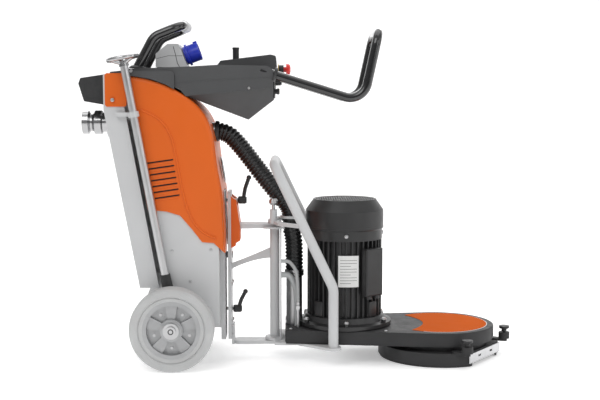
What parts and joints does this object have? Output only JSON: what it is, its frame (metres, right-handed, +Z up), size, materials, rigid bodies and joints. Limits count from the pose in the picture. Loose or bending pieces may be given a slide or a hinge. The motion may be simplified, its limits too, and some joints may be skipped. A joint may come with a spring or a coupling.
{
  "type": "edge floor grinder",
  "caption": "Walk-behind edge floor grinder: upright wheeled chassis with console and handles, hinged front frame with an upright motor driving a low grinding head by belt.",
  "frame": {"origin": "on the floor, under the middle of the machine's overall length and width", "axes": "+X forwards from the wheels to the grinding head, +Y to the machine's left, +Z up"},
  "size_m": [1.3318, 0.498, 1.038],
  "materials": {
    "powder_grey": "light grey powder coat",
    "orange_plastic": "orange moulded plastic",
    "dark_plastic": "dark grey grained moulding",
    "black_rubber": "matt black rubber",
    "polished_steel": "polished",
    "bright_steel": "zinc-plated",
    "grey_tyre": "non-marking grey rubber",
    "cast_rim": "cast, satin",
    "panel_black": "black",
    "gloss_black": "gloss black",
    "light_plastic": "light grey",
    "blue_plastic": "blue",
    "red_plastic": "red",
    "satin_black": "satin black",
    "cast_black": "semi-gloss black over casting",
    "grey_hose": "grey",
    "drive_aluminium": "mill finish",
    "tool_steel": "ground"
  },
  "bodies": {
    "chassis": {"cabinet_shell": "powder_grey", "rear_tower": "powder_grey", "cowl": "orange_plastic", "corner_plates": "orange_plastic", "top_cap": "dark_plastic", "tipping_bumper": "black_rubber", "dust_coupling": "polished_steel", "dust_duct": "bright_steel", "front_post": "powder_grey", "wheel_axle": "bright_steel", "drive_unit": "drive_aluminium", "rod_boot": "black_rubber", "wheel_bearings": "bright_steel", "tilt_pin": "bright_steel"},
    "wheel_left": {"tyre_left": "grey_tyre", "rim_left": "cast_rim"},
    "wheel_right": {"tyre_right": "grey_tyre", "rim_right": "cast_rim"},
    "brake": {"brake_rod": "bright_steel", "ring_handle": "polished_steel"},
    "console": {"console_shell": "dark_plastic", "console_underside": "dark_plastic", "control_panel": "panel_black", "handlebar": "gloss_black", "lift_loop": "gloss_black", "inlet_housing": "light_plastic", "inlet_shroud": "blue_plastic", "cable_post": "panel_black"},
    "emergency_button": {"emergency_button": "red_plastic"},
    "speed_knob": {"speed_knob": "panel_black"},
    "pendulum": {"pendulum_plate": "powder_grey", "pivot_guard": "orange_plastic", "swing_arms": "powder_grey", "hinge_post": "powder_grey", "hose_upper": "black_rubber"},
    "lever_upper": {"clamp_lever_upper": "panel_black"},
    "lever_lower": {"clamp_lever_lower": "panel_black"},
    "front_frame": {"front_bracket": "powder_grey", "hoop_tube": "powder_grey", "belt_cover": "satin_black", "head_base": "satin_black", "drive_belt": "black_rubber", "motor_frame": "cast_black", "fan_cowl": "cast_black", "terminal_box": "cast_black", "head_fittings": "bright_steel", "hose_lower": "black_rubber", "cable_conduit": "grey_hose", "water_hose": "grey_hose"},
    "index_plunger": {"index_plunger": "bright_steel"},
    "motor_rotor": {"motor_rotor": "bright_steel", "cooling_fan": "panel_black"},
    "spindle": {"spindle": "bright_steel", "tool_disc": "tool_steel"},
    "guard": {"shroud_ring": "satin_black", "brush_skirt": "black_rubber", "clamp_blocks": "satin_black"},
    "front_plate": {"front_plate": "drive_aluminium"},
    "thumb_screw_left": {"thumb_screw_left": "panel_black"},
    "thumb_screw_right": {"thumb_screw_right": "panel_black"}
  },
  "joints": [
    {"name": "wheel_left_spin", "type": "hinge", "parent": "chassis", "child": "wheel_left", "pos_m": [-0.37785, 0.207, 0.125], "axis": [0, 1, 0], "continuous": true},
    {"name": "wheel_right_spin", "type": "hinge", "parent": "chassis", "child": "wheel_right", "pos_m": [-0.37785, -0.207, 0.125], "axis": [0, 1, 0], "continuous": true},
    {"name": "brake_slide", "type": "slide", "parent": "chassis", "child": "brake", "axis": [-0.1805, 0, 0.9836], "range_m": [0, 0.02]},
    {"name": "console_tilt", "type": "hinge", "parent": "chassis", "child": "console", "pos_m": [-0.49785, 0, 0.8865], "axis": [0, -1, 0], "range_deg": [0, 30]},
    {"name": "emergency_press", "type": "slide", "parent": "console", "child": "emergency_button", "axis": [-1, 0, 0], "range_m": [0, 0.006], "stiffness_N_per_m": 600, "springref_m": -0.002},
    {"name": "speed_turn", "type": "hinge", "parent": "console", "child": "speed_knob", "pos_m": [-0.06785, -0.055, 0.857], "axis": [1, 0, 0], "range_deg": [-135, 135]},
    {"name": "pendulum_roll", "type": "hinge", "parent": "chassis", "child": "pendulum", "pos_m": [-0.21485, 0, 0.319], "axis": [1, 0, 0], "range_deg": [-4, 4], "deforming": ["hose_upper"]},
    {"name": "lever_upper_turn", "type": "hinge", "parent": "chassis", "child": "lever_upper", "pos_m": [-0.22986, 0, 0.49], "axis": [1, 0, 0], "range_deg": [-100, 100]},
    {"name": "lever_lower_turn", "type": "hinge", "parent": "chassis", "child": "lever_lower", "pos_m": [-0.22986, 0, 0.148], "axis": [1, 0, 0], "range_deg": [-100, 100]},
    {"name": "front_yaw", "type": "hinge", "parent": "pendulum", "child": "front_frame", "pos_m": [-0.07586, 0, 0.425], "axis": [0, 0, 1], "range_deg": [-30, 30], "deforming": ["hose_lower"]},
    {"name": "plunger_drop", "type": "slide", "parent": "front_frame", "child": "index_plunger", "axis": [0, 0, 1], "range_m": [-0.009, 0]},
    {"name": "motor_spin", "type": "hinge", "parent": "front_frame", "child": "motor_rotor", "pos_m": [0.14214, 0, 0.13], "axis": [0, 0, 1], "continuous": true},
    {"name": "spindle_spin", "type": "hinge", "parent": "front_frame", "child": "spindle", "pos_m": [0.43815, 0, 0.05], "axis": [0, 0, 1], "continuous": true},
    {"name": "guard_swivel", "type": "hinge", "parent": "front_frame", "child": "guard", "pos_m": [0.43815, 0, 0.04], "axis": [0, 0, 1], "range_deg": [-45, 115]},
    {"name": "plate_slide", "type": "slide", "parent": "guard", "child": "front_plate", "axis": [0, 0, 1], "range_m": [-0.01, 0.01]},
    {"name": "thumb_screw_left_turn", "type": "hinge", "parent": "guard", "child": "thumb_screw_left", "pos_m": [0.64886, 0.01104, 0.078], "axis": [0, 0, 1], "range_deg": [-170, 170]},
    {"name": "thumb_screw_right_turn", "type": "hinge", "parent": "guard", "child": "thumb_screw_right", "pos_m": [0.49983, -0.20178, 0.078], "axis": [0, 0, 1], "range_deg": [-170, 170]}
  ],
  "couplings": [
    {"joint": "spindle_spin", "follows": "motor_spin", "ratio": 0.70588}
  ]
}
